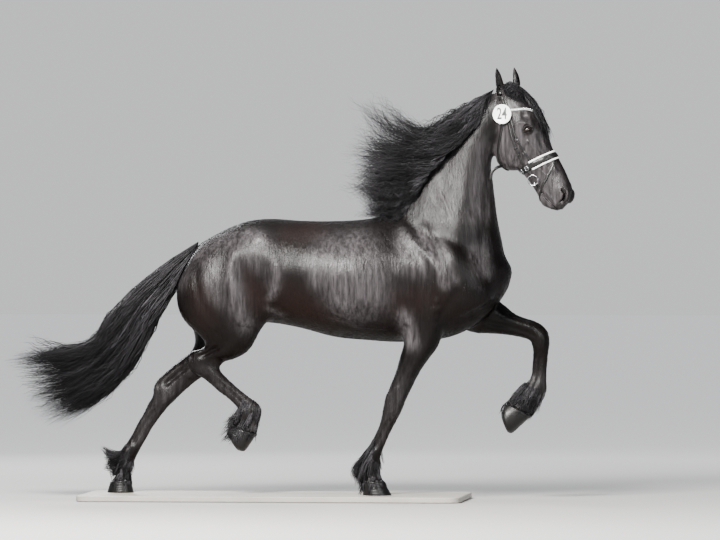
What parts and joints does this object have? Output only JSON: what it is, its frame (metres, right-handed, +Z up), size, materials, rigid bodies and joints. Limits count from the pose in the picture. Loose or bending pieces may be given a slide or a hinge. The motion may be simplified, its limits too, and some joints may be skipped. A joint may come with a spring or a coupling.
{
  "type": "friesian horse, life-size still model",
  "caption": "Life-size black Friesian horse at the trot, with flowing mane and tail, feathered legs and a show bridle, on a plain flat base.",
  "frame": {"origin": "the middle of the base's underside", "axes": "+X towards the horse's head, +Y to the horse's left, +Z up"},
  "size_m": [3.0064, 0.8, 2.322],
  "materials": {
    "coat": "short glossy black hair with a warm brown tint",
    "hair": "long black hair, soft sheen",
    "hoof_horn": "dark oiled horn with fine growth rings",
    "eye": "dark brown, wet gloss",
    "bridle_leather": "black polished leather with white edging on the noseband",
    "browband_trim": "silvery white beads",
    "bit_metal": "polished steel",
    "disc_plastic": "white plastic with plain dark digits",
    "base_board": "matt warm grey paint"
  },
  "bodies": {
    "root": {"torso": "coat", "neck": "coat", "head": "coat", "ear_right": "coat", "ear_left": "coat", "foreleg_right": "coat", "foreleg_left": "coat", "hindleg_right": "coat", "hindleg_left": "coat", "mane": "hair", "forelock": "hair", "tail": "hair", "forefeather_right": "hair", "forefeather_left": "hair", "hindfeather_right": "hair", "hindfeather_left": "hair", "forehoof_right": "hoof_horn", "forehoof_left": "hoof_horn", "hindhoof_right": "hoof_horn", "hindhoof_left": "hoof_horn", "eye_right": "eye", "eye_left": "eye", "bridle_cheekpieces": "bridle_leather", "bridle_throatlatch": "bridle_leather", "bridle_noseband": "bridle_leather", "bridle_flash": "bridle_leather", "bridle_browband": "browband_trim", "bridle_bit_ring_right": "bit_metal", "bridle_bit_ring_left": "bit_metal", "number_disc": "disc_plastic", "stand_base": "base_board"}
  },
  "joints": []
}
